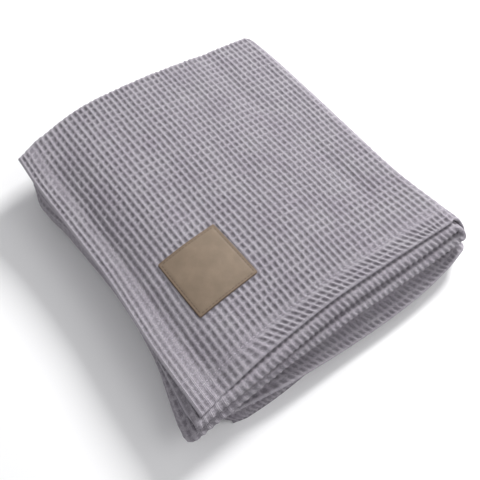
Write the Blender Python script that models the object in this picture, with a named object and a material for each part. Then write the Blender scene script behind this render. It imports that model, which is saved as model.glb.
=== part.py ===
"""Folded waffle-weave cotton blanket with a sewn-on leather patch.

The blanket is one closed solid: a flat rectangle of cloth, thicker along its
hems, is folded in three across its width and then in four along its length,
and the stack is then pushed out of true the way a soft blanket lies.
Metres, +Z up. The near hems lie along +X (right) and +Y (left).
"""
import math

import bmesh
import bpy
from mathutils import Matrix, Vector

MM = 0.001

# Cloth and fold sizes, mm
CLOTH_THICK = 2.0
HEM_THICK = 2.6
HEM_WIDE = 16.0
HEM_FADE = 8.0
LAYER_STEP = 3.3
GROUP_STEP = 11.0
LAYERS = 3
GROUPS = 4
STACK_TALL = (GROUPS - 1) * GROUP_STEP + (LAYERS - 1) * LAYER_STEP + CLOTH_THICK

# Where each run of cloth starts or turns, mm
FOLD_X_LOW = 4.0
FOLD_X_HIGH = 235.5
FOLD_Y_LOW = 2.0
FOLD_Y_HIGH = 250.0
TOP_HEM_X = 0.0
END_HEM_X = 6.0

# Faces along one run and round one turn
RUN_STEPS_X = 13
TURN_STEPS_X = 6
RUN_STEPS_Y = 10
TURN_STEPS_Y = 4
END_CROWD = 0.62
CORNER_NIP = 0.9

# Patch, mm
PATCH_SIDE = 52.0
PATCH_THICK = 1.2
PATCH_AT = (62.0, 80.5)
PATCH_TURN = 2.3
PATCH_CORNER_NIP = 0.4
PATCH_GAP = 0.35
PATCH_STEPS = 14

# Outward push of the near-right edge, mm: height of the row, then the push
# at each ALONG_X station
ALONG_X = (0, 18, 60, 120, 180, 215, 250)
NEAR_RIGHT_OUT = (
    (0.0, (9, 13, 15, 14, 13, 13, 14)),
    (6.0, (5, 11, 14, 13, 12, 12, 15)),
    (16.2, (-6, 4, 12, 12, 12, 13, 14)),
    (18.0, (-4, 6, 18, 27, 31, 27, 17)),
    (22.6, (2, 2, 2, 3, 6, 10, 15)),
    (28.0, (7, 6.5, 6, 8, 11, 12.5, 13.5)),
    (35.7, (3, 2, 1, -1, 2.5, 4.5, 6)),
    (41.6, (-2, -5, -9, -9.5, -6.5, -3.5, -1)),
)
# The same for the far edge with its folds
FAR_LEFT_OUT = (
    (0.0, (-5, -3, 2, 4, 3, 2, 0)),
    (20.0, (-8, -3, 4, 6, 5, 3, 1)),
    (34.0, (-7, 1, 9, 10, 8, 6, 4)),
    (41.6, (-1, 6, 13, 12, 9, 7, 5)),
)
# Outward push of the left edge, mm, at each ALONG_Y station
ALONG_Y = (0, 60, 120, 180, 220, 250)
LEFT_OUT = (
    (0.0, (-12, -9, -2, 1, 2, 0)),
    (8.0, (-7, -8, -2, 1, 2, -1)),
    (20.8, (11, -4, -9, -6, -1, -8)),
    (34.0, (10, 2, -1, -1, 2, -3)),
    (37.3, (7, 2, -1, -1, 1, -2)),
    (41.6, (1, 2, -1, 0, 1, 1)),
)
# The same for the far-right edge with its folds
FAR_RIGHT_OUT = (
    (0.0, (5, -2, -2, -2, -2, -3)),
    (12.0, (8, -1, -1, -1, -1, -2)),
    (24.0, (9, -1, 0, 0, 0, -1)),
    (34.0, (7, -1, 0, 1, 1, 0)),
    (41.6, (4, 0, 0, 1, 1, 0)),
)
# Rise of the top over its even height, mm: one row for each RISE_Y station
RISE_BIAS = 1.3
RISE_X = (0, 25, 70, 125, 190, 245)
RISE_Y = (0, 25, 70, 125, 190, 250)
TOP_RISE = (
    (-6, -5, -2, 1, 1, 0),
    (-6, -4, 0, 3, 2, 1),
    (-6, -2, 3, 5, 2, 1),
    (-6, -1, 5, 6, 2, 0),
    (-4, 1, 6, 6, 2, 0),
    (1, 3, 7, 7, 3, 0),
)
# The lower half lies flatter under the near-right edge, mm at each ALONG_X
# station, and its top hem hangs over the folds under it
LOWER_SINK = (0, 1, 2.5, 4, 4, 3, 1)
HEM_DROOP = (0, 0, 0, 4, 4, 2, 0)
LOWER_HALF_TOP = 20.8
LOWER_HEM_BASE = 16.6
DROOP_WIDE = 13.0
DROOP_ENDS = (206.0, 232.0)
SINK_REACH = 60.0
SINK_FROM = 30.0
EDGE_REACH = 70.0
FAR_CORNER = (245.0, 252.0)
FAR_CORNER_PULL = 1.5
FAR_CORNER_REACH = 12.0

CLOTH_COLOR = (0.370, 0.341, 0.381, 1.0)
LEATHER_COLOR = (0.342, 0.238, 0.159, 1.0)


def ease(low, high, value):
    """Smooth 0 to 1 as value goes from low to high."""
    part = min(max((value - low) / (high - low), 0.0), 1.0)
    return part * part * (3 - 2 * part)


def along(stations, values, at):
    """Smooth curve through the values given at the stations."""
    if at <= stations[0]:
        return values[0]
    if at >= stations[-1]:
        return values[-1]
    last = len(stations) - 1
    seg = max(i for i in range(last) if stations[i] <= at)
    part = (at - stations[seg]) / (stations[seg + 1] - stations[seg])
    p1, p2 = values[seg], values[seg + 1]
    p0 = values[max(seg - 1, 0)]
    p3 = values[min(seg + 2, last)]
    slope_in = (p2 - p0) / 2
    slope_out = (p3 - p1) / 2
    a, b = part * part, part * part * part
    return ((2 * b - 3 * a + 1) * p1 + (b - 2 * a + part) * slope_in
            + (3 * a - 2 * b) * p2 + (b - a) * slope_out)


def push(table, stations, height, at):
    """Outward push from an edge table at a height and a place along the edge."""
    heights = [row[0] for row in table]
    values = [along(stations, row[1], at) for row in table]
    return along(heights, values, height)


def settle(x, y, z):
    """Moves a point of the even stack to where the soft stack lies, mm."""
    rows = [along(RISE_X, row, x) for row in TOP_RISE]
    rise = along(RISE_Y, rows, y)
    low_x = 1 - ease(0, EDGE_REACH, x)
    high_x = ease(FOLD_X_HIGH - EDGE_REACH, FOLD_X_HIGH, x)
    low_y = 1 - ease(0, EDGE_REACH, y)
    high_y = ease(FOLD_Y_HIGH - EDGE_REACH, FOLD_Y_HIGH, y)
    out_x = (high_x * push(FAR_RIGHT_OUT, ALONG_Y, z, y)
             - low_x * push(LEFT_OUT, ALONG_Y, z, y))
    out_y = (high_y * push(FAR_LEFT_OUT, ALONG_X, z, x)
             - low_y * push(NEAR_RIGHT_OUT, ALONG_X, z, x))
    corner = math.hypot(x - FAR_CORNER[0], y - FAR_CORNER[1])
    pull = FAR_CORNER_PULL * (1 - ease(0, FAR_CORNER_REACH, corner))
    up = z + rise * (z / STACK_TALL) ** RISE_BIAS
    if z < LOWER_HALF_TOP:
        near = (1 - ease(0, SINK_REACH, y)) * ease(FOLD_X_LOW, SINK_FROM, x)
        up -= near * along(ALONG_X, LOWER_SINK, x) * z / LOWER_HALF_TOP
        if z > LOWER_HEM_BASE:
            hang = (1 - ease(0, DROOP_WIDE, y)) * (1 - ease(*DROOP_ENDS, x))
            up -= hang * near * along(ALONG_X, HEM_DROOP, x)
    return Vector((x + out_x - pull, y + out_y - pull, up)) * MM


def fold_line(starts, step, run_steps, turn_steps):
    """Stations down a back-and-forth fold line seen from its side.

    starts holds the ends of each run. Each station is its place along the
    run, its height, and the outward direction of the cloth's upper face.
    """
    stations = []
    for run, (first, last) in enumerate(starts):
        way = 1 if run % 2 == 0 else -1
        count = run_steps if run == 0 else run_steps - 1
        for i in range(count + 1):
            even = (i + run_steps - count) / run_steps
            part = even - END_CROWD * math.sin(2 * math.pi * even) / (2 * math.pi)
            stations.append((first + (last - first) * part, -run * step, 0.0, way))
        if run < len(starts) - 1:
            for i in range(1, turn_steps + 1):
                turn = math.pi * i / turn_steps
                out = math.sin(turn) * way
                up = math.cos(turn)
                stations.append((last + out * step / 2, -(run + 0.5) * step
                                 + up * step / 2, out * way, up * way))
    return stations


def laid_out(stations):
    """How far along the flat cloth each station of a fold line lies, mm."""
    far = [0.0]
    for here, there in zip(stations, stations[1:]):
        far.append(far[-1] + math.hypot(there[0] - here[0], there[1] - here[1]))
    return far


def half_thick(from_edge):
    """Half the cloth's thickness, which grows where the hem is turned over."""
    on_hem = 1 - ease(HEM_WIDE, HEM_WIDE + HEM_FADE, from_edge)
    return (CLOTH_THICK + (HEM_THICK - CLOTH_THICK) * on_hem) / 2


def make_material(name, color, roughness):
    mat = bpy.data.materials.new(name)
    mat.use_nodes = True
    shader = mat.node_tree.nodes["Principled BSDF"]
    shader.inputs["Base Color"].default_value = color
    shader.inputs["Roughness"].default_value = roughness
    shader.inputs["Metallic"].default_value = 0.0
    mat.diffuse_color = color
    return mat


def flat_slab(count_x, count_y):
    """A flat slab of squares, its corners counted in whole steps."""
    bm = bmesh.new()
    bmesh.ops.create_grid(bm, x_segments=count_x, y_segments=count_y, size=0.5)
    place = Matrix.Diagonal((count_x, count_y, 1, 1)) @ Matrix.Translation((0.5, 0.5, 0))
    bmesh.ops.transform(bm, matrix=place, verts=bm.verts)
    made = bmesh.ops.extrude_face_region(bm, geom=bm.faces[:], use_keep_orig=True)
    upper = [v for v in made["geom"] if isinstance(v, bmesh.types.BMVert)]
    bmesh.ops.translate(bm, verts=upper, vec=(0, 0, 1))
    bmesh.ops.recalc_face_normals(bm, faces=bm.faces)
    return bm


def finish(bm, name, mat, group):
    """Turns the worked mesh into a named object."""
    mesh = bpy.data.meshes.new(name)
    bm.to_mesh(mesh)
    bm.free()
    mesh.materials.append(mat)
    for face in mesh.polygons:
        face.use_smooth = True
    obj = bpy.data.objects.new(name, mesh)
    group.objects.link(obj)
    return obj


def folded_blanket(group, mat):
    """The whole cloth, hems and all, folded to its stack."""
    runs_x = ((TOP_HEM_X, FOLD_X_HIGH), (FOLD_X_HIGH, FOLD_X_LOW),
              (FOLD_X_LOW, FOLD_X_HIGH), (FOLD_X_HIGH, END_HEM_X))
    runs_y = ((0.0, FOLD_Y_HIGH), (FOLD_Y_HIGH, FOLD_Y_LOW), (FOLD_Y_LOW, FOLD_Y_HIGH))
    down_x = fold_line(runs_x, GROUP_STEP, RUN_STEPS_X, TURN_STEPS_X)
    down_y = fold_line(runs_y, LAYER_STEP, RUN_STEPS_Y, TURN_STEPS_Y)
    count_x = len(down_x) - 1
    count_y = len(down_y) - 1
    far_x = laid_out(down_x)
    far_y = laid_out(down_y)
    top = STACK_TALL - CLOTH_THICK / 2 - LAYER_STEP
    bm = flat_slab(count_x, count_y)
    for vert in bm.verts:
        sx, sy = round(vert.co.x), round(vert.co.y)
        x, z, out_x, up_x = down_x[sx]
        y, height, out_y, up_y = down_y[sy]
        edge_x = min(far_x[sx], far_x[-1] - far_x[sx])
        edge_y = min(far_y[sy], far_y[-1] - far_y[sy])
        half = half_thick(min(edge_x, edge_y))
        if vert.co.z < 0.5:
            half = -half
        if edge_x == 0 and edge_y == 0:
            x += math.copysign(CORNER_NIP, FOLD_X_HIGH / 2 - x)
            y += math.copysign(CORNER_NIP, FOLD_Y_HIGH / 2 - y)
        offset = height + LAYER_STEP + half * up_y
        up = top + z + offset * up_x
        vert.co = settle(x + offset * out_x, y + half * out_y, max(up, 0.0))
    return finish(bm, "blanket", mat, group)


def leather_patch(group, mat):
    """The square patch, lying on the top layer of the blanket."""
    bm = flat_slab(PATCH_STEPS, PATCH_STEPS)
    turn = math.radians(PATCH_TURN)
    half = PATCH_SIDE / 2
    for vert in bm.verts:
        u = (vert.co.x / PATCH_STEPS * 2 - 1) * half
        v = (vert.co.y / PATCH_STEPS * 2 - 1) * half
        if abs(u) > half - 0.01 and abs(v) > half - 0.01:
            u -= math.copysign(PATCH_CORNER_NIP, u)
            v -= math.copysign(PATCH_CORNER_NIP, v)
        x = PATCH_AT[0] + u * math.cos(turn) - v * math.sin(turn)
        y = PATCH_AT[1] + u * math.sin(turn) + v * math.cos(turn)
        over = PATCH_GAP + PATCH_THICK * vert.co.z
        vert.co = settle(x, y, STACK_TALL) + Vector((0, 0, over * MM))
    return finish(bm, "leather_patch", mat, group)


def main():
    for old in list(bpy.data.objects):
        bpy.data.objects.remove(old, do_unlink=True)
    group = bpy.data.collections.new("folded_waffle_blanket")
    bpy.context.scene.collection.children.link(group)
    cotton = make_material("waffle_cotton", CLOTH_COLOR, 0.92)
    leather = make_material("tan_leather", LEATHER_COLOR, 0.62)
    parts = [folded_blanket(group, cotton), leather_patch(group, leather)]
    corners = [v.co for v in parts[0].data.vertices]
    mid = Vector(((min(c.x for c in corners) + max(c.x for c in corners)) / 2,
                  (min(c.y for c in corners) + max(c.y for c in corners)) / 2, 0))
    for part in parts:
        part.data.transform(Matrix.Translation(-mid))


main()
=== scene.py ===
"""Folded waffle-weave cotton blanket with a tan leather patch, for the photograph.

The cloth is laid out flat, as whole waffle cells, and then folded and settled
by the solid's values. On the flat cloth s runs along the long side and t along
the short side, and x, y and z are places in the stack.
"""
import math

import bmesh
import bpy
import numpy as np
from mathutils import Matrix, Vector


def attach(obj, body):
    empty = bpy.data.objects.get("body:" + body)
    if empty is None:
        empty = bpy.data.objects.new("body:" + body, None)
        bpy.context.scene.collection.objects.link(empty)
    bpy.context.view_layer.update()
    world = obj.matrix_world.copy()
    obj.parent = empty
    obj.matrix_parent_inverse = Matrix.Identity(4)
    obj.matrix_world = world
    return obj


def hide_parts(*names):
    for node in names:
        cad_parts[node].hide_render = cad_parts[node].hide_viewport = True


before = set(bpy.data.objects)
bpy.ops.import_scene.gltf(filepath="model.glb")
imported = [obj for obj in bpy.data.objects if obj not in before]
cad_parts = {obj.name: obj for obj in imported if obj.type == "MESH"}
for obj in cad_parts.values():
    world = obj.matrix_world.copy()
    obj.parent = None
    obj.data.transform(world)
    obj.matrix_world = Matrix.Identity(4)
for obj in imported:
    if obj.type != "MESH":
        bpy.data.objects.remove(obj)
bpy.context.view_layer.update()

MM = 0.001

# The middle of the solid's base, in the millimetres that the tables below use
MIDDLE = (118.318, 119.623)

# How the cloth is folded, mm: the solid's own values
CLOTH_THICK = 2.0
LAYER_STEP = 3.3
GROUP_STEP = 11.0
STACK_TALL = 41.6
RUNS_X = ((0.0, 235.5), (235.5, 4.0), (4.0, 235.5), (235.5, 6.0))
RUNS_Y = ((0.0, 250.0), (250.0, 2.0), (2.0, 250.0))
FOLD_X_LOW = 4.0
FOLD_X_HIGH = 235.5
FOLD_Y_HIGH = 250.0

# How the soft stack lies, mm: the solid's own values
ALONG_X = (0, 18, 60, 120, 180, 215, 250)
NEAR_RIGHT_OUT = (
    (0.0, (9, 13, 15, 14, 13, 13, 14)),
    (6.0, (5, 11, 14, 13, 12, 12, 15)),
    (16.2, (-6, 4, 12, 12, 12, 13, 14)),
    (18.0, (-4, 6, 18, 27, 31, 27, 17)),
    (22.6, (2, 2, 2, 3, 6, 10, 15)),
    (28.0, (7, 6.5, 6, 8, 11, 12.5, 13.5)),
    (35.7, (3, 2, 1, -1, 2.5, 4.5, 6)),
    (41.6, (-2, -5, -9, -9.5, -6.5, -3.5, -1)),
)
FAR_LEFT_OUT = (
    (0.0, (-5, -3, 2, 4, 3, 2, 0)),
    (20.0, (-8, -3, 4, 6, 5, 3, 1)),
    (34.0, (-7, 1, 9, 10, 8, 6, 4)),
    (41.6, (-1, 6, 13, 12, 9, 7, 5)),
)
ALONG_Y = (0, 60, 120, 180, 220, 250)
LEFT_OUT = (
    (0.0, (-12, -9, -2, 1, 2, 0)),
    (8.0, (-7, -8, -2, 1, 2, -1)),
    (20.8, (11, -4, -9, -6, -1, -8)),
    (34.0, (10, 2, -1, -1, 2, -3)),
    (37.3, (7, 2, -1, -1, 1, -2)),
    (41.6, (1, 2, -1, 0, 1, 1)),
)
FAR_RIGHT_OUT = (
    (0.0, (5, -2, -2, -2, -2, -3)),
    (12.0, (8, -1, -1, -1, -1, -2)),
    (24.0, (9, -1, 0, 0, 0, -1)),
    (34.0, (7, -1, 0, 1, 1, 0)),
    (41.6, (4, 0, 0, 1, 1, 0)),
)
RISE_BIAS = 1.3
RISE_X = (0, 25, 70, 125, 190, 245)
RISE_Y = (0, 25, 70, 125, 190, 250)
TOP_RISE = (
    (-6, -5, -2, 1, 1, 0),
    (-6, -4, 0, 3, 2, 1),
    (-6, -2, 3, 5, 2, 1),
    (-6, -1, 5, 6, 2, 0),
    (-4, 1, 6, 6, 2, 0),
    (1, 3, 7, 7, 3, 0),
)
LOWER_SINK = (0, 1, 2.5, 4, 4, 3, 1)
HEM_DROOP = (0, 0, 0, 4, 4, 2, 0)
LOWER_HALF_TOP = 20.8
# A little over the solid's 16.6, because the waffle stands higher than its layers
LOWER_HEM_BASE = 16.9
DROOP_WIDE = 13.0
DROOP_ENDS = (206.0, 232.0)
SINK_REACH = 60.0
SINK_FROM = 30.0
EDGE_REACH = 70.0
FAR_CORNER = (245.0, 252.0)
FAR_CORNER_PULL = 1.5
FAR_CORNER_REACH = 12.0

# The cloth's rows bow away from the near hem all over the top, mm
ROW_BOW = (2, 5, 9, 9.5, 6.5, 3.5, 1)

# Whole waffle cells along and across the flat cloth
CELLS_LONG = 196
CELLS_WIDE = 124

# The waffle's heights over the middle of the cloth, mm; its back is shallower
RIDGE_HALF = 1.55
PIT_HALF = 0.42
YARN_LUMPS = 0.13
LUMPS_TO_A_CELL = (4.3, 4.7)
BACK_SHARE = 0.78

# The ridges' crests and feet, as shares of a cell from the ridge's middle line
COLUMN_CREST = 0.07
COLUMN_FOOT = 0.36
CROSSING_SPREAD = 0.2
ROW_CREST = 0.03
ROW_FOOT = 0.3
ROW_SHARE = 0.75
SIDE_POWER = 0.9
CROWD = 0.3

# Where the cloth is drawn ropy, mm from the left hem and from the near hem, and how much
ROPY_ENDS = (28.0, 70.0)
ROPY_FADE = (80.0, 180.0)
ROPY_FADED = 0.7
ROPY_EVEN = 0.75
ROPY_UNEVEN = 0.25
ROPY_AREAS = 18.0
ROPE_SPREAD = 0.05
ROW_LOSS = 0.5
ROPE_FILL = 0.3
ROPE_DROP = 0.2

# How uneven the ridges are, and how far cells, in shares of a cell, and yarns, in mm, wander
UNEVEN_COLUMN = 0.14
UNEVEN_ROW = 0.5
CELL_WANDER = 0.045
CELL_WANDER_RATES = (1.6, 1.3)
WANDER = 0.6
WANDER_AREAS = (22.0, 30.0)
WANDER_STARTS = (40, 80)
CALM_REACH = 12.0

# Cells by which the outer layer is longer round each long turn, so that they keep their size
TURN_CELLS = 2

# The cloth slides a little sideways down its near folds, mm
NEAR_FOLD = 505.8
BAND_LEAN = 2.6
BAND_FULL = 4.0
BAND_REACH = 18.0

# The top layer's hem draws back from the corner as it goes round the first turn, mm
FIRST_TURN_END = 260.0
EDGE_RETREAT = 4.5
RETREAT_REACH = 30.0

# The hems, mm: their seam lies a little inside the edge of the solid's thick hem
HEM_WIDE = 14.5
HEM_FADE = 3.0
HEM_EXTRA = 0.25
SOLID_HEM_THICK = 2.6
SOLID_HEM_FADE = 8.0
SEAM_HALF = 3.2
SEAM_DIP = 1.0
SEAM_FLAT = 0.5
SEAM_UNEVEN = 0.3
SEAM_AREAS = 14.0
# How far the hem seam evens out the relief value, and with it the painted pit shade and ridge
# highlight
SEAM_TONE = 0.3
SEAM_TONE_LOSS = 0.4
LIP_WIDE = 1.4
LIP_HALF = 1.35
LIP_SHARE = 0.25
LIP_DRAW = 9.0
AT_EDGE = 0.01

# The near hem slides sideways under the seam, most between these places along it, mm
HEM_SLANT = 9.0
HEM_SLANT_ENDS = (34.0, 62.0, 196.0, 232.0)

# The main soft creases of the top, mm: from x, y, to x, y, half width, height
CREASES = (
    ((20, 8), (18, 76), 11, -3.0),
    ((17, 90), (17, 150), 10, -2.0),
    ((18, 165), (20, 212), 12, -2.4),
    ((46, 12), (48, 32), 16, 1.8),
    ((54, 50), (54, 112), 20, 0.7),
    ((49, 132), (49, 215), 20, 2.0),
    ((26, 239), (60, 243), 10, -1.0),
    ((88, 122), (135, 127), 20, -1.4),
    ((190, 245), (192, 178), 9, -0.9),
    ((200, 118), (204, 64), 9, -1.1),
    ((150, 215), (138, 190), 12, -0.6),
)

# The patch, mm, and its turn in degrees; the cloth is pressed flat under it
PATCH_SIDE = 52.0
PATCH_THICK = 1.2
PATCH_AT = (62.0, 80.5)
PATCH_TURN = 2.3
PATCH_CORNER = 1.3
PATCH_RIM = 0.35
PATCH_CROWN = 0.35
PATCH_STEPS = 52
GROOVE_DEEP = 0.22
GROOVE_HALF = 0.55
SEWN_INSET = 2.0
UPPER_SHARE = 0.7
PRESSED_HALF = 0.9
PRESSED_SHARE = 0.9
PRESSED_ENDS = (-0.5, 1.5)

# The stitches, mm: pitch, length, thickness, and how deep their ends sink
HEM_STITCH = (3.4, 2.7, 0.55, 0.7)
HEM_STITCH_OVER = 0.15
HEM_STITCH_START = 5
PATCH_STITCH = (2.9, 2.3, 0.42, 0.45)
PATCH_STITCH_UNDER = 0.1
PATCH_STITCH_START = 0.5

# Where the slabs are cut finer because they show, in whole cells of the flat cloth:
# their edges from each side, and the turns' middles and half widths
TOP_CUTS = 7
SIDE_CUTS = 5
TOP_SPLIT = 27
TOP_CELLS_LONG = 54
TOP_CELLS_WIDE = 44
BACK_SPLIT = 100
EDGE_CELLS = 3
BACK_EDGE_CELLS = 1.1
FAR_TURN = (41.4, 3.2)
NEAR_TURN = (82.9, 3.4)
LEFT_TURN = (98.6, 5.2)
RIGHT_TURN = (148.4, 5.2)
FIRST_LAYER_END = 42
LAST_LAYER_START = 83
LOWER_HEM_FROM = 100
LOWER_HEM_TO = 148
LOWER_HEM_CELLS = 6
JUST = 0.01

# The stage, m, and its lights: place, size and power in watts
FLOOR_HALF = 4.0
WORLD_COLOR = "#F7F7FA"
WORLD_STRENGTH = 0.52
PANELS = (
    ("key_panel", (1.03, 0.32, 0.77), 0.35, 23.0),
    ("fill_panel", (0.7, -0.75, 1.1), 0.8, 5.0),
)

# Camera: the photograph's frame is 480 by 480, the angles are in degrees, and the rest in mm
FRAME_SIZE = 480
FOCAL_PIXELS = 560
SENSOR = 36.0
CLIP_START = 0.01
CAMERA_TURN = -43.234
CAMERA_RISE = 60.060
CAMERA_ROLL = -5.835
CAMERA_FAR = 442.851
CAMERA_TARGET = (104.505, 95.328, 21.5)


def placed(point):
    """A point in the tables' millimetres, in the frame's metres."""
    return Vector(((point[0] - MIDDLE[0]) * MM, (point[1] - MIDDLE[1]) * MM, point[2] * MM))


def add_camera():
    """The photograph's camera, fitted to the four corners of the stack's top."""
    turn = math.radians(CAMERA_TURN)
    rise = math.radians(CAMERA_RISE)
    roll = math.radians(CAMERA_ROLL)
    back = Vector((math.sin(turn) * math.cos(rise), -math.cos(turn) * math.cos(rise),
                   math.sin(rise)))
    side = (-back).cross(Vector((0, 0, 1))).normalized()
    down = (-back).cross(side)
    right = side * math.cos(roll) + down * math.sin(roll)
    up = side * math.sin(roll) - down * math.cos(roll)
    data = bpy.data.cameras.new("photo_camera")
    data.sensor_width = SENSOR
    data.lens = SENSOR * FOCAL_PIXELS / FRAME_SIZE
    data.clip_start = CLIP_START
    camera = bpy.data.objects.new("photo_camera", data)
    bpy.context.scene.collection.objects.link(camera)
    turned = Matrix((right, up, back)).transposed().to_4x4()
    eye = placed(CAMERA_TARGET) + back * CAMERA_FAR * MM
    camera.matrix_world = Matrix.Translation(eye) @ turned
    bpy.context.scene.camera = camera


def ease(low, high, value):
    """Smooth 0 to 1 as value goes from low to high."""
    part = np.clip((value - low) / (high - low), 0.0, 1.0)
    return part * part * (3 - 2 * part)


def along(stations, values, at):
    """Smooth curve through the values given at the stations."""
    stations = np.asarray(stations, float)
    at = np.clip(at, stations[0], stations[-1])
    last = len(stations) - 1
    seg = np.clip(np.searchsorted(stations, at, side="right") - 1, 0, last - 1)
    part = (at - stations[seg]) / (stations[seg + 1] - stations[seg])
    values = [np.broadcast_to(np.asarray(v, float), at.shape) for v in values]
    table = np.stack(values)
    pick = np.arange(at.size)
    p0 = table[np.maximum(seg - 1, 0), pick]
    p1 = table[seg, pick]
    p2 = table[seg + 1, pick]
    p3 = table[np.minimum(seg + 2, last), pick]
    slope_in = (p2 - p0) / 2
    slope_out = (p3 - p1) / 2
    a = part * part
    b = a * part
    return ((2 * b - 3 * a + 1) * p1 + (b - 2 * a + part) * slope_in
            + (3 * a - 2 * b) * p2 + (b - a) * slope_out)


def push(table, stations, height, at):
    """Outward push from an edge table at a height and a place along the edge."""
    return along([row[0] for row in table], [along(stations, row[1], at) for row in table], height)


def settle(x, y, z):
    """Moves points of the even stack to where the soft stack lies, mm."""
    rise = along(RISE_Y, [along(RISE_X, row, x) for row in TOP_RISE], y)
    low_x = 1 - ease(0, EDGE_REACH, x)
    high_x = ease(FOLD_X_HIGH - EDGE_REACH, FOLD_X_HIGH, x)
    low_y = 1 - ease(0, EDGE_REACH, y)
    high_y = ease(FOLD_Y_HIGH - EDGE_REACH, FOLD_Y_HIGH, y)
    out_x = high_x * push(FAR_RIGHT_OUT, ALONG_Y, z, y) - low_x * push(LEFT_OUT, ALONG_Y, z, y)
    out_y = (high_y * push(FAR_LEFT_OUT, ALONG_X, z, x)
             - low_y * push(NEAR_RIGHT_OUT, ALONG_X, z, x))
    corner = np.hypot(x - FAR_CORNER[0], y - FAR_CORNER[1])
    pull = FAR_CORNER_PULL * (1 - ease(0, FAR_CORNER_REACH, corner))
    up = z + rise * (np.maximum(z, 0) / STACK_TALL) ** RISE_BIAS
    near = (1 - ease(0, SINK_REACH, y)) * ease(FOLD_X_LOW, SINK_FROM, x)
    sink = near * along(ALONG_X, LOWER_SINK, x) * z / LOWER_HALF_TOP
    hang = (1 - ease(0, DROOP_WIDE, y)) * (1 - ease(*DROOP_ENDS, x))
    droop = np.where(z > LOWER_HEM_BASE, hang * near * along(ALONG_X, HEM_DROOP, x), 0.0)
    up = up - np.where(z < LOWER_HALF_TOP, sink + droop, 0.0)
    return np.stack((x + out_x - pull, y + out_y - pull, up), axis=1)


def fold(place, runs, step):
    """Where points of the flat cloth lie after a back-and-forth fold.

    Gives the place along the runs, the height, the outward direction of the
    cloth's face there, and how far round its turns the cloth has gone.
    """
    out = np.zeros_like(place)
    x = np.empty_like(place)
    z = np.empty_like(place)
    up = np.empty_like(place)
    turned = np.zeros_like(place)
    far = 0.0
    bend = math.pi * step / 2
    for run, (first, last) in enumerate(runs):
        way = 1 if run % 2 == 0 else -1
        end = far + abs(last - first)
        on = ((place >= far) | (run == 0)) & ((place <= end) | (run == len(runs) - 1))
        x[on] = first + (place[on] - far) * way
        z[on] = -run * step
        up[on] = way
        turned[on] = run % 2
        if run < len(runs) - 1:
            on = (place > end) & (place < end + bend)
            angle = (place[on] - end) / (step / 2)
            x[on] = last + way * np.sin(angle) * step / 2
            z[on] = -(run + 0.5) * step + np.cos(angle) * step / 2
            out[on] = np.sin(angle)
            up[on] = np.cos(angle) * way
            turned[on] = angle / math.pi if way == 1 else 1 - angle / math.pi
        far = end + bend
    return x, z, out, up, turned


def flat_length(runs, step):
    """The cloth's length once laid out, mm."""
    return sum(abs(b - a) for a, b in runs) + (len(runs) - 1) * math.pi * step / 2


CLOTH_LONG = flat_length(RUNS_X, GROUP_STEP)
CLOTH_WIDE = flat_length(RUNS_Y, LAYER_STEP)
CELL_LONG = CLOTH_LONG / CELLS_LONG
CELL_WIDE = CLOTH_WIDE / CELLS_WIDE


def slant(s, t):
    """Sideways slide of the cloth in the near hem, mm."""
    in_hem = np.clip((HEM_WIDE - t) / HEM_WIDE, 0, 1)
    x = fold(s, RUNS_X, GROUP_STEP)[0]
    start, full, fading, end = HEM_SLANT_ENDS
    return HEM_SLANT * in_hem * ease(start, full, x) * (1 - ease(fading, end, x))


def height_in_fold(t):
    """Height over or under the middle of the near fold, in layers, only near it."""
    off = t - NEAR_FOLD
    fading = 1 - ease(BAND_FULL, BAND_REACH, np.abs(off))
    return -np.clip(off / (LAYER_STEP / 2), -1, 1) / 2 * fading


def bow(x, y):
    """How far a row away from the edges slides along the top, mm."""
    apart = ease(0, EDGE_REACH, y) - ease(FOLD_Y_HIGH - EDGE_REACH, FOLD_Y_HIGH, y)
    return apart * along(ALONG_X, ROW_BOW, x)


def crease(x, y):
    """Height of the listed soft creases over the even top, mm."""
    height = np.zeros_like(x)
    for start, end, wide, tall in CREASES:
        run_x, run_y = end[0] - start[0], end[1] - start[1]
        part = ((x - start[0]) * run_x + (y - start[1]) * run_y) / (run_x ** 2 + run_y ** 2)
        part = np.clip(part, 0, 1)
        off = np.hypot(x - start[0] - part * run_x, y - start[1] - part * run_y)
        height += tall * np.exp(-(off / wide) ** 2)
    return height


def solid_half(s, t):
    """Half the solid cloth's thickness, mm."""
    inside = np.minimum(np.minimum(s, CLOTH_LONG - s), np.minimum(t, CLOTH_WIDE - t))
    on_hem = 1 - ease(HEM_WIDE, HEM_WIDE + SOLID_HEM_FADE, inside)
    return (CLOTH_THICK + (SOLID_HEM_THICK - CLOTH_THICK) * on_hem) / 2


def middle_of(s, t):
    """Where the middle of the solid cloth's thickness lies, mm."""
    x, z, out_x, up_x, _ = fold(s, RUNS_X, GROUP_STEP)
    y, height, out_y, up_y, _ = fold(t, RUNS_Y, LAYER_STEP)
    x = x + slant(s, t) - BAND_LEAN * height_in_fold(t) * up_x
    first_turn = out_x * (s < FIRST_TURN_END)
    y = y + bow(x, y) + EDGE_RETREAT * first_turn * (1 - ease(0, RETREAT_REACH, t))
    top = STACK_TALL - CLOTH_THICK / 2 - LAYER_STEP
    half = solid_half(s, t)
    faces = []
    for way in (-half, half):
        offset = height + LAYER_STEP + way * up_y
        faces.append(settle(x + offset * out_x, y + way * out_y, top + z + offset * up_x))
    return (faces[0] + faces[1]) / 2


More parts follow.
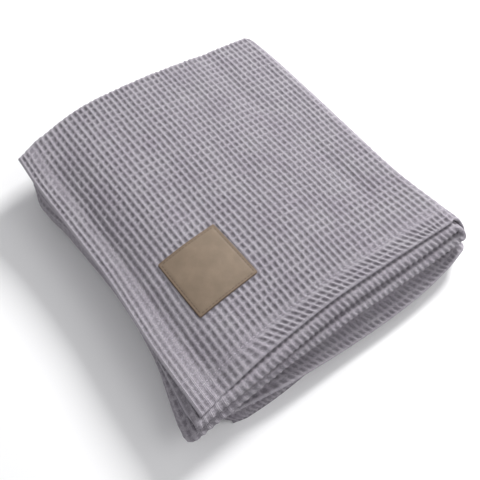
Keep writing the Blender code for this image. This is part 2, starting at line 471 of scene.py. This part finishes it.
def lie(s, t, half, beyond_s=0.0, beyond_t=0.0):
    """Lays points of the flat cloth on the folded stack, metres.

    half is the height over the middle of the cloth, and the beyond values
    carry the rolled lip past the cut edge. The creases are given by places on
    the top, which are the flat cloth's own there, so the lower layers have none.
    """
    step = 0.3
    middle = middle_of(s, t)
    long_way = middle_of(s + step, t) - middle
    wide_way = middle_of(s, t + step) - middle
    long_way /= np.linalg.norm(long_way, axis=1)[:, None]
    wide_way /= np.linalg.norm(wide_way, axis=1)[:, None]
    out = np.cross(long_way, wide_way)
    out /= np.linalg.norm(out, axis=1)[:, None]
    at = middle + out * (half + crease(s, t + bow(s, t)))[:, None]
    at += long_way * np.asarray(beyond_s)[..., None] + wide_way * np.asarray(beyond_t)[..., None]
    at[:, 2] = np.maximum(at[:, 2], 0.0)
    at[:, 0] -= MIDDLE[0]
    at[:, 1] -= MIDDLE[1]
    return at * MM


def uneven(seed, a, b):
    """Smooth unevenness from -1 to 1 with one bump to each whole number of a and b."""
    size = 256
    bumps = np.random.RandomState(seed).uniform(-1, 1, (size, size))
    ia = np.floor(a).astype(int)
    ib = np.floor(b).astype(int)
    fa = ease(0, 1, a - ia)
    fb = ease(0, 1, b - ib)
    ia, ib = ia % size, ib % size
    ja, jb = (ia + 1) % size, (ib + 1) % size
    low = bumps[ia, ib] * (1 - fa) + bumps[ja, ib] * fa
    high = bumps[ia, jb] * (1 - fa) + bumps[ja, jb] * fa
    return low * (1 - fb) + high * fb


def ridge(cells, crest, foot):
    """Height from 0 to 1 of ridges at whole cells, with sides that slope evenly."""
    off = np.abs(cells - np.round(cells))
    return 1 - np.clip((off - crest) / (foot - crest), 0, 1) ** SIDE_POWER


def waffle(s_cells, t_cells, upper, ropy):
    """The waffle's height from pit, 0, to ridge, 1, and how far it is a column ridge.

    Where it is ropy, 1, the cloth is drawn together: its column ridges are
    wide and its row ridges nearly gone.
    """
    s_cells = s_cells + np.where(upper, 0.0, 0.5)
    t_cells = t_cells + np.where(upper, 0.0, 0.5)
    bent_s = s_cells + CELL_WANDER * uneven(7, s_cells, t_cells * CELL_WANDER_RATES[0])
    bent_t = t_cells + CELL_WANDER * uneven(8, s_cells * CELL_WANDER_RATES[1], t_cells)
    crossing = ridge(bent_t, 0, ROW_FOOT)
    foot = COLUMN_FOOT * (1 + CROSSING_SPREAD * crossing) + ROPE_SPREAD * ropy
    column = ridge(bent_s, COLUMN_CREST + ROPE_SPREAD * ropy, foot)
    column = column * (1 + UNEVEN_COLUMN * uneven(3, s_cells, t_cells * 2))
    row = ridge(bent_t, ROW_CREST, ROW_FOOT) * ROW_SHARE
    row = row * (1 + UNEVEN_ROW * uneven(5, s_cells + 0.5, t_cells + 0.5)) * (1 - ROW_LOSS * ropy)
    return 1 - (1 - np.minimum(column, 1.0)) * (1 - np.minimum(row, 1.0)), column


def cloth_slab(s_cells, t_cells, shows, cuts):
    """A flat slab of waffle cells, cut finer where it shows."""
    count_s = s_cells[1] - s_cells[0]
    count_t = t_cells[1] - t_cells[0]
    bm = bmesh.new()
    bmesh.ops.create_grid(bm, x_segments=count_s, y_segments=count_t, size=0.5)
    place = (Matrix.Translation((s_cells[0], t_cells[0], 0))
             @ Matrix.Diagonal((count_s, count_t, 1, 1)) @ Matrix.Translation((0.5, 0.5, 0)))
    bmesh.ops.transform(bm, matrix=place, verts=bm.verts)
    made = bmesh.ops.extrude_face_region(bm, geom=bm.faces[:], use_keep_orig=True)
    upper = [v for v in made["geom"] if isinstance(v, bmesh.types.BMVert)]
    bmesh.ops.translate(bm, verts=upper, vec=(0, 0, 1))
    bmesh.ops.recalc_face_normals(bm, faces=bm.faces)
    bm.edges.index_update()
    edges = set()
    for face in bm.faces:
        mid = face.calc_center_median()
        if shows(mid.x, mid.y, mid.z):
            edges.update(face.edges)
    in_order = sorted(edges, key=lambda edge: edge.index)
    bmesh.ops.subdivide_edges(bm, edges=in_order, cuts=cuts, use_grid_fill=True)
    return bm


def in_scene(bm, name):
    """Turns a bmesh into an object of the scene."""
    mesh = bpy.data.meshes.new(name)
    bm.to_mesh(mesh)
    bm.free()
    made = bpy.data.objects.new(name, mesh)
    bpy.context.scene.collection.objects.link(made)
    return made


def finished(bm, name, material):
    """Turns a bmesh into a smooth piece that rides on the body."""
    piece = in_scene(bm, name)
    piece.data.materials.append(material)
    piece.data.shade_smooth()
    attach(piece, "root")
    return piece


def corners_of(mesh):
    """The mesh's corner points, as rows of x, y and z."""
    co = np.empty(len(mesh.vertices) * 3)
    mesh.vertices.foreach_get("co", co)
    return co.reshape(-1, 3)


def move_corners(mesh, co):
    """Moves the mesh's corner points to the places in the rows."""
    mesh.vertices.foreach_set("co", co.ravel())
    mesh.update()


def add_value(mesh, name, values):
    """Keeps one number for each corner point, for the material to read."""
    layer = mesh.attributes.new(name, "FLOAT", "POINT")
    layer.data.foreach_set("value", np.asarray(values, np.float32))


def add_cloth_uv(mesh, u, v):
    """Keeps the place on the flat cloth, metres, as the piece's UV map."""
    layer = mesh.uv_layers.new(name="cloth")
    of_loop = np.empty(len(mesh.loops), int)
    mesh.loops.foreach_get("vertex_index", of_loop)
    layer.data.foreach_set("uv", np.stack((u, v), axis=1)[of_loop].ravel())


def under_patch(s, t):
    """How far a point of the flat cloth lies under the patch, from 0 to 1."""
    turn = math.radians(PATCH_TURN)
    x = s - PATCH_AT[0]
    y = t + bow(s, t) - PATCH_AT[1]
    u = np.abs(x * math.cos(turn) + y * math.sin(turn))
    v = np.abs(y * math.cos(turn) - x * math.sin(turn))
    edge = np.maximum(u, v) - PATCH_SIDE / 2
    return 1 - ease(*PRESSED_ENDS, edge)


def dress_cloth(piece):
    """Gives a flat slab its waffle, hems and wander, and lays it on the stack."""
    mesh = piece.data
    s_at, t_at, side = corners_of(mesh).T
    face = side * 2 - 1
    s_at = s_at - CROWD * face * np.sin(2 * math.pi * s_at) / (2 * math.pi)
    t_at = t_at - CROWD * face * np.sin(2 * math.pi * t_at) / (2 * math.pi)
    s = s_at * CELL_LONG
    t = t_at * CELL_WIDE
    layer = np.clip(np.round((t - FOLD_Y_HIGH) / (FOLD_Y_HIGH + LAYER_STEP) + 0.5), 0, 2)
    turned = fold(s, RUNS_X, GROUP_STEP)[4]
    s_cells = s_at + TURN_CELLS * turned * (1 - layer)
    drawn = ROPY_EVEN + ROPY_UNEVEN * uneven(31, s / ROPY_AREAS, t / ROPY_AREAS)
    ropy = (1 - ease(*ROPY_ENDS, s)) * drawn
    ropy = ropy * (1 - ROPY_FADED * ease(*ROPY_FADE, t))
    height, column = waffle(s_cells, t_at, face > 0, ropy)

    from_s = np.minimum(s, CLOTH_LONG - s)
    from_t = np.minimum(t, CLOTH_WIDE - t)
    inside = np.minimum(from_s, from_t)
    seam = np.exp(-((inside - HEM_WIDE) / SEAM_HALF) ** 2)
    on_hem = 1 - ease(HEM_WIDE - HEM_FADE, HEM_WIDE, inside)
    pit = PIT_HALF + ROPE_FILL * ropy
    half = pit + (RIDGE_HALF - ROPE_DROP * ropy - pit) * height
    half = np.where(face > 0, half, half * BACK_SHARE)
    lumps_s, lumps_t = LUMPS_TO_A_CELL
    half = half + YARN_LUMPS * uneven(21, s_at * lumps_s + face, t_at * lumps_t)
    flat_seam = seam * (SEAM_FLAT + SEAM_UNEVEN * uneven(33, s / SEAM_AREAS, t / SEAM_AREAS))
    half = half + (SEAM_DIP - half) * flat_seam + HEM_EXTRA * on_hem
    pressed = under_patch(s, t)
    half = half + (PRESSED_HALF - half) * pressed * PRESSED_SHARE
    lip = 1 - ease(0, LIP_WIDE, inside)
    half = half + (LIP_HALF - half) * lip * LIP_SHARE
    # In the seam the relief value, and so the painted pit shade and ridge highlight, is evened out
    height = height * (1 - SEAM_TONE_LOSS * seam) + SEAM_TONE * seam

    round_edge = np.sqrt(np.clip(1 - face ** 2, 0, 1))
    beyond_s = LIP_HALF * (ease(LIP_DRAW, 0, s) - ease(CLOTH_LONG - LIP_DRAW, CLOTH_LONG, s))
    beyond_t = LIP_HALF * (ease(LIP_DRAW, 0, t) - ease(CLOTH_WIDE - LIP_DRAW, CLOTH_WIDE, t))
    beyond_s = beyond_s * np.where(from_s < AT_EDGE, 1 - round_edge, 1)
    beyond_t = beyond_t * np.where(from_t < AT_EDGE, 1 - round_edge, 1)

    small, large = WANDER_AREAS
    first, second = WANDER_STARTS
    wander_s = WANDER * uneven(11, s / small + first, t / large + first)
    wander_t = WANDER * uneven(12, s / large + second, t / small + second)
    calm = ease(0, CALM_REACH, inside)
    at = lie(s + wander_s * calm, t + wander_t * calm, half * face, beyond_s, beyond_t)
    move_corners(mesh, at)
    add_cloth_uv(mesh, s * MM, t * MM)
    # The waffle's relief, kept for the material, which paints the pits darker as painted shade and
    # the ridges lighter as painted highlight
    add_value(mesh, "relief", np.clip(height, 0, 1))
    add_value(mesh, "column", np.clip(column, 0, 1))


def node(tree, kind, inputs=None, **settings):
    """Adds a node, sets what it has, and sets or links its inputs."""
    made = tree.nodes.new(kind)
    for key, value in settings.items():
        setattr(made, key, value)
    for key, value in (inputs or {}).items():
        socket = made.inputs[key]
        if isinstance(value, bpy.types.NodeSocket):
            tree.links.new(value, socket)
        else:
            socket.default_value = value
    return made


def hex_color(text):
    """An sRGB hex colour as linear light."""
    parts = [int(text[i:i + 2], 16) / 255 for i in (1, 3, 5)]
    return [p / 12.92 if p <= 0.04045 else ((p + 0.055) / 1.055) ** 2.4 for p in parts] + [1.0]


def new_material(name):
    """A new material, its node tree and its shader."""
    material = bpy.data.materials.new(name)
    material.use_nodes = True
    return material, material.node_tree, material.node_tree.nodes["Principled BSDF"]


def set_ramp(ramp, stops):
    """Sets a colour ramp's stops from places and hex colours."""
    elements = ramp.color_ramp.elements
    while len(elements) < len(stops):
        elements.new(0.5)
    for element, (place, color) in zip(elements, stops):
        element.position = place
        element.color = hex_color(color)


def waffle_cotton():
    """Piece-dyed waffle-weave cotton, washed once.

    The ridges are long floats and the pits between them close plain weave.
    The colour is painted darker in the pits, as painted shade, and lighter
    on the ridges, as painted highlight, from the relief value. The real
    yarns lie about 0.55 mm apart, and here they are drawn 1.1 mm apart, as
    coarse as they need to be to show. The dye is blotched every 22 mm, the
    yarn is flecked every 1.25 mm, and the lint that dulls it lies in tufts
    of 3 mm.
    """
    material, tree, shader = new_material("waffle_cotton")
    flat = node(tree, "ShaderNodeUVMap", uv_map="cloth")
    in_mm = node(tree, "ShaderNodeVectorMath", {0: flat.outputs[0], 1: (1000, 1000, 1000)},
                 operation="MULTIPLY")
    place = in_mm.outputs[0]
    relief = node(tree, "ShaderNodeAttribute", attribute_name="relief").outputs["Fac"]
    column = node(tree, "ShaderNodeAttribute", attribute_name="column").outputs["Fac"]
    blotch = node(tree, "ShaderNodeTexNoise", {"Vector": place, "Scale": 0.045, "Detail": 3.0})
    fleck = node(tree, "ShaderNodeTexNoise", {"Vector": place, "Scale": 0.8, "Detail": 5.0,
                                                "Roughness": 0.7})
    lint = node(tree, "ShaderNodeTexNoise", {"Vector": place, "Scale": 0.33, "Detail": 2.0})
    shifted = node(tree, "ShaderNodeMath", {0: fleck.outputs["Fac"], 1: 0.5}, operation="SUBTRACT")
    # The relief value, with a random yarn fleck, picks the colour: darker in the pits as painted
    # shade, lighter on the ridges as painted highlight
    relief_shade_and_fleck = node(tree, "ShaderNodeMath", {0: shifted.outputs[0], 1: 3.4, 2: relief},
                operation="MULTIPLY_ADD")
    ramp = node(tree, "ShaderNodeValToRGB", {"Fac": relief_shade_and_fleck.outputs[0]})
    set_ramp(ramp, ((0.0, "#827E84"), (0.4, "#918D93"), (1.0, "#A8A4AA")))
    tint = node(tree, "ShaderNodeValToRGB", {"Fac": blotch.outputs["Fac"]})
    set_ramp(tint, ((0.3, "#F3F0F4"), (0.7, "#FFFFFF")))
    dyed = node(tree, "ShaderNodeMix", {"Factor": 1.0, "A": ramp.outputs[0], "B": tint.outputs[0]},
                data_type="RGBA", blend_type="MULTIPLY")
    color = [s for s in dyed.outputs if s.type == "RGBA"][0]
    tree.links.new(color, shader.inputs["Base Color"])

    warp = node(tree, "ShaderNodeTexWave", {"Vector": place, "Scale": 0.29, "Distortion": 1.2,
                                            "Detail": 1.0, "Detail Scale": 0.6},
                wave_type="BANDS", bands_direction="X", wave_profile="SIN")
    weft = node(tree, "ShaderNodeTexWave", {"Vector": place, "Scale": 0.29, "Distortion": 1.2,
                                            "Detail": 1.0, "Detail Scale": 0.6},
                wave_type="BANDS", bands_direction="Y", wave_profile="SIN")
    yarn = node(tree, "ShaderNodeMix", {"Factor": column, "A": weft.outputs["Fac"],
                                        "B": warp.outputs["Fac"]}, data_type="FLOAT")
    fuzz = node(tree, "ShaderNodeMath", {0: fleck.outputs["Fac"], 1: 1.4, 2: yarn.outputs[0]},
                operation="MULTIPLY_ADD")
    bump = node(tree, "ShaderNodeBump", {"Height": fuzz.outputs[0], "Strength": 0.7,
                                         "Distance": 0.4 * MM})
    tree.links.new(bump.outputs[0], shader.inputs["Normal"])
    rough = node(tree, "ShaderNodeMapRange", {"Value": lint.outputs["Fac"], "To Min": 0.82,
                                              "To Max": 0.96})
    tree.links.new(rough.outputs[0], shader.inputs["Roughness"])
    shader.inputs["Sheen Weight"].default_value = 0.12
    shader.inputs["Sheen Roughness"].default_value = 0.5
    shader.inputs["Specular IOR Level"].default_value = 0.2
    return material


def tan_leather():
    """Tan coated leather, embossed with a fine pebble grain and cut square.

    It is matt, with a grain about 0.9 mm across and pores of 0.45 mm, is
    clouded every 12 mm, and darkens to its edge.
    """
    material, tree, shader = new_material("tan_leather")
    flat = node(tree, "ShaderNodeUVMap", uv_map="cloth")
    in_mm = node(tree, "ShaderNodeVectorMath", {0: flat.outputs[0], 1: (1000, 1000, 1000)},
                 operation="MULTIPLY")
    place = in_mm.outputs[0]
    edge = node(tree, "ShaderNodeAttribute", attribute_name="edge").outputs["Fac"]
    cloud = node(tree, "ShaderNodeTexNoise", {"Vector": place, "Scale": 0.08, "Detail": 4.0})
    grain = node(tree, "ShaderNodeTexVoronoi", {"Vector": place, "Scale": 1.1},
                 feature="DISTANCE_TO_EDGE")
    pores = node(tree, "ShaderNodeTexNoise", {"Vector": place, "Scale": 2.2, "Detail": 3.0})
    ramp = node(tree, "ShaderNodeValToRGB", {"Fac": cloud.outputs["Fac"]})
    set_ramp(ramp, ((0.3, "#796957"), (0.5, "#806F5D"), (0.7, "#877663")))
    speck = node(tree, "ShaderNodeMapRange", {"Value": pores.outputs["Fac"], "From Min": 0.35,
                                              "From Max": 0.65, "To Min": 0.9, "To Max": 1.06})
    speckled = node(tree, "ShaderNodeVectorMath", {0: ramp.outputs[0], "Scale": speck.outputs[0]},
                    operation="SCALE")
    worn = node(tree, "ShaderNodeMix", {"Factor": edge, "A": speckled.outputs[0],
                                        "B": hex_color("#65513F")}, data_type="RGBA")
    color = [s for s in worn.outputs if s.type == "RGBA"][0]
    tree.links.new(color, shader.inputs["Base Color"])
    crease = node(tree, "ShaderNodeMath", {0: grain.outputs["Distance"], 1: 2.0,
                                           2: pores.outputs["Fac"]}, operation="MULTIPLY_ADD")
    bump = node(tree, "ShaderNodeBump", {"Height": crease.outputs[0], "Strength": 0.45,
                                         "Distance": 0.15 * MM})
    tree.links.new(bump.outputs[0], shader.inputs["Normal"])
    rough = node(tree, "ShaderNodeMapRange", {"Value": pores.outputs["Fac"], "To Min": 0.5,
                                              "To Max": 0.72})
    tree.links.new(rough.outputs[0], shader.inputs["Roughness"])
    return material


def sewing_thread(name, dark, light):
    """Spun polyester sewing thread, whose twist shows as slanting bands.

    The bands are drawn 1.5 mm apart, coarser than the real twist, to show.
    """
    material, tree, shader = new_material(name)
    flat = node(tree, "ShaderNodeUVMap", uv_map="cloth")
    twist = node(tree, "ShaderNodeTexWave", {"Vector": flat.outputs[0], "Scale": 420.0},
                 wave_type="BANDS", bands_direction="DIAGONAL")
    ramp = node(tree, "ShaderNodeValToRGB", {"Fac": twist.outputs["Fac"]})
    set_ramp(ramp, ((0.0, dark), (1.0, light)))
    tree.links.new(ramp.outputs[0], shader.inputs["Base Color"])
    bump = node(tree, "ShaderNodeBump", {"Height": twist.outputs["Fac"], "Strength": 0.4,
                                         "Distance": 0.08 * MM})
    tree.links.new(bump.outputs[0], shader.inputs["Normal"])
    shader.inputs["Roughness"].default_value = 0.6
    return material


def plain_paper():
    """Matt white backdrop paper with a faint unevenness, about 0.3 m across."""
    material, tree, shader = new_material("backdrop_paper")
    where = node(tree, "ShaderNodeTexCoord")
    cloud = node(tree, "ShaderNodeTexNoise", {"Vector": where.outputs["Object"], "Scale": 3.0})
    ramp = node(tree, "ShaderNodeValToRGB", {"Fac": cloud.outputs["Fac"]})
    set_ramp(ramp, ((0.3, "#F4F4F4"), (0.7, "#F6F6F6")))
    tree.links.new(ramp.outputs[0], shader.inputs["Base Color"])
    shader.inputs["Roughness"].default_value = 0.9
    return material


def in_turn(cell, turn):
    """Whether a cell lies in the strip of a turn that shows."""
    middle, half_wide = turn
    return abs(cell - middle) < half_wide


def edge_shows(s, t, z):
    """The strips of the under layers that show round the stack."""
    from_edge = min(s, CELLS_LONG - s, t, CELLS_WIDE - t)
    if from_edge < (EDGE_CELLS if z > JUST else BACK_EDGE_CELLS):
        return True
    if z > 0.5:
        on_lower_hem = t < LOWER_HEM_CELLS and LOWER_HEM_FROM < s < LOWER_HEM_TO
        on_right = t < FIRST_LAYER_END and in_turn(s, RIGHT_TURN)
        return in_turn(t, FAR_TURN) or on_right or on_lower_hem
    if z < 0.5:
        return in_turn(t, NEAR_TURN) or (t > LAST_LAYER_START and in_turn(s, LEFT_TURN))
    return False


def top_shows(s, t, z):
    """The whole face of the top layer, and both sides at its hems."""
    from_edge = min(s, t)
    return z > 1 - JUST or (z > JUST and from_edge < JUST) or from_edge < BACK_EDGE_CELLS


def add_cloth():
    """The one folded cloth, in lengths that meet inside the stack."""
    cotton = waffle_cotton()
    near, rest = (0, TOP_CELLS_WIDE), (TOP_CELLS_WIDE, CELLS_WIDE)
    lengths = {
        "waffle_cloth_top_left": ((0, TOP_SPLIT), near, top_shows, TOP_CUTS),
        "waffle_cloth_top_right": ((TOP_SPLIT, TOP_CELLS_LONG), near, top_shows, TOP_CUTS),
        "waffle_cloth_lower": ((TOP_CELLS_LONG, CELLS_LONG), near, edge_shows, SIDE_CUTS),
        "waffle_cloth_inner": ((0, BACK_SPLIT), rest, edge_shows, SIDE_CUTS),
        "waffle_cloth_base": ((BACK_SPLIT, CELLS_LONG), rest, edge_shows, SIDE_CUTS),
    }
    pieces = {}
    for name, (s_cells, t_cells, shows, cuts) in lengths.items():
        piece = finished(cloth_slab(s_cells, t_cells, shows, cuts), name, cotton)
        dress_cloth(piece)
        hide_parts("blanket")
        pieces[name] = piece
    return pieces, lengths


def stitch_strip(count, pitch, long, thick):
    """A straight row of separate stitches, made from one with an array."""
    bm = bmesh.new()
    bmesh.ops.create_cone(bm, cap_ends=True, segments=6, radius1=thick / 2, radius2=thick / 2,
                          depth=long)
    bmesh.ops.rotate(bm, cent=(0, 0, 0), matrix=Matrix.Rotation(math.pi / 2, 3, "Y"),
                     verts=bm.verts)
    sides = [e for e in bm.edges if abs(e.verts[0].co.x - e.verts[1].co.x) > long / 2]
    bmesh.ops.subdivide_edges(bm, edges=sides, cuts=3)
    bmesh.ops.translate(bm, verts=bm.verts, vec=(pitch / 2, 0, 0))
    piece = in_scene(bm, "one_stitch")
    mesh = piece.data
    array = piece.modifiers.new("row", "ARRAY")
    array.count = count
    array.use_relative_offset = False
    array.use_constant_offset = True
    array.constant_offset_displace = (pitch, 0, 0)
    bpy.context.view_layer.update()
    ready = piece.evaluated_get(bpy.context.evaluated_depsgraph_get())
    strip = bpy.data.meshes.new_from_object(ready)
    bpy.data.objects.remove(piece)
    bpy.data.meshes.remove(mesh)
    return strip


def sunk_ends(x, pitch, long, depth):
    """How far a stitch dips where its thread goes into the cloth."""
    off = np.abs((x % pitch) - pitch / 2) / (long / 2)
    return -depth * off ** 3


def add_hem_stitches(material):
    """Thread along all four hems, on the cloth's face."""
    pitch, long, thick, sunk = HEM_STITCH
    bm = bmesh.new()
    rows = (("long", HEM_WIDE), ("long", CLOTH_WIDE - HEM_WIDE),
            ("wide", HEM_WIDE), ("wide", CLOTH_LONG - HEM_WIDE))
    for way, place in rows:
        reach = CLOTH_LONG if way == "long" else CLOTH_WIDE
        count = int((reach - 2 * HEM_STITCH_START) / pitch)
        strip = stitch_strip(count, pitch, long, thick)
        run, over, up = corners_of(strip).T
        height = SEAM_DIP + HEM_STITCH_OVER + up + sunk_ends(run, pitch, long, sunk)
        run = run + HEM_STITCH_START
        if way == "long":
            at = lie(run, place + over, height)
        else:
            at = lie(place + over, run, height)
        move_corners(strip, at)
        add_cloth_uv(strip, run * MM, (over + up) * MM)
        bm.from_mesh(strip)
        bpy.data.meshes.remove(strip)
    piece = finished(bm, "hem_stitches", material)
    return piece


def on_patch(u, v, over):
    """Places points of the square patch over the top layer, metres."""
    turn = math.radians(PATCH_TURN)
    x = PATCH_AT[0] + u * math.cos(turn) - v * math.sin(turn)
    y = PATCH_AT[1] + u * math.sin(turn) + v * math.cos(turn)
    at = settle(x, y, np.full_like(x, STACK_TALL))
    edge = np.maximum(np.abs(u), np.abs(v)) / (PATCH_SIDE / 2)
    at[:, 2] += over + PATCH_CROWN * (1 - edge ** 4) + crease(x, y)
    at[:, 0] -= MIDDLE[0]
    at[:, 1] -= MIDDLE[1]
    return at * MM


def add_patch(leather, thread):
    """The square leather patch and the thread that holds it."""
    bm = bmesh.new()
    bmesh.ops.create_cube(bm, size=1.0)
    half = PATCH_SIDE / 2
    bmesh.ops.scale(bm, vec=(PATCH_SIDE, PATCH_SIDE, PATCH_THICK), verts=bm.verts)
    bmesh.ops.translate(bm, vec=(0, 0, PATCH_THICK / 2), verts=bm.verts)
    upright = [e for e in bm.edges if abs(e.verts[0].co.z - e.verts[1].co.z) > 0.1]
    bmesh.ops.bevel(bm, geom=upright, offset=PATCH_CORNER, segments=4, profile=0.5,
                    affect="EDGES", material=-1)
    rims = [e for e in bm.edges if abs(e.verts[0].co.z - e.verts[1].co.z) < 0.1
            and len(e.link_faces) == 2
            and abs(e.link_faces[0].normal.z - e.link_faces[1].normal.z) > 0.5
            and e.verts[0].co.z > PATCH_THICK / 2]
    bmesh.ops.bevel(bm, geom=rims, offset=PATCH_RIM, segments=3, profile=0.5, affect="EDGES",
                    material=-1)
    for axis in (0, 1):
        for step in range(1, PATCH_STEPS):
            normal = [0, 0, 0]
            normal[axis] = 1
            at = [0, 0, 0]
            at[axis] = -half + PATCH_SIDE * step / PATCH_STEPS
            bmesh.ops.bisect_plane(bm, geom=bm.verts[:] + bm.edges[:] + bm.faces[:],
                                   plane_co=at, plane_no=normal)
    piece = finished(bm, "leather_patch_face", leather)
    u, v, over = corners_of(piece.data).T
    near = half - np.maximum(np.abs(u), np.abs(v))
    upper = over > PATCH_THICK * UPPER_SHARE
    groove = GROOVE_DEEP * np.exp(-((near - SEWN_INSET) / GROOVE_HALF) ** 2) * upper
    move_corners(piece.data, on_patch(u, v, over - groove))
    add_cloth_uv(piece.data, u * MM, v * MM)
    cut_rim = 0.75 * (1 - ease(0, 0.6, near))
    handled = 0.35 * (1 - ease(0.4, 3.0, near))
    cut_side = 0.5 * (over < PATCH_THICK * UPPER_SHARE)
    add_value(piece.data, "edge", np.clip(cut_rim + handled + cut_side, 0, 1))
    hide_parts("leather_patch")

    pitch, long, thick, sunk = PATCH_STITCH
    inset = half - SEWN_INSET
    bm = bmesh.new()
    for quarter in range(4):
        strip = stitch_strip(int((2 * inset) / pitch), pitch, long, thick)
        run, across, up = corners_of(strip).T
        height = PATCH_THICK - PATCH_STITCH_UNDER + up + sunk_ends(run, pitch, long, sunk)
        first = run - inset + PATCH_STITCH_START
        turn = quarter * math.pi / 2
        edge_v = across - inset
        u = first * math.cos(turn) - edge_v * math.sin(turn)
        v = first * math.sin(turn) + edge_v * math.cos(turn)
        move_corners(strip, on_patch(u, v, height))
        add_cloth_uv(strip, run * MM, (across + up) * MM)
        bm.from_mesh(strip)
        bpy.data.meshes.remove(strip)
    stitches = finished(bm, "patch_stitches", thread)
    return piece, stitches


def add_stage():
    """A plain pale floor with soft light from large panels."""
    bm = bmesh.new()
    bmesh.ops.create_grid(bm, x_segments=1, y_segments=1, size=FLOOR_HALF)
    floor = in_scene(bm, "floor")
    floor.data.materials.append(plain_paper())
    world = bpy.data.worlds.new("studio")
    world.use_nodes = True
    background = world.node_tree.nodes["Background"]
    background.inputs["Color"].default_value = hex_color(WORLD_COLOR)
    background.inputs["Strength"].default_value = WORLD_STRENGTH
    bpy.context.scene.world = world
    for name, at, size, power in PANELS:
        light = bpy.data.lights.new(name, "AREA")
        light.shape = "SQUARE"
        light.size = size
        light.energy = power
        lamp = bpy.data.objects.new(name, light)
        lamp.location = at
        lamp.rotation_euler = Vector(at).to_track_quat("Z", "Y").to_euler()
        bpy.context.scene.collection.objects.link(lamp)


bpy.context.scene.view_settings.view_transform = "Standard"
add_camera()
add_stage()
cloth, cloth_lengths = add_cloth()
hem_stitches = add_hem_stitches(sewing_thread("lilac_grey_thread", "#8D8792", "#C4BEC8"))
patch, patch_stitches = add_patch(tan_leather(),
                                  sewing_thread("dark_brown_thread", "#3A2E26", "#5A493C"))
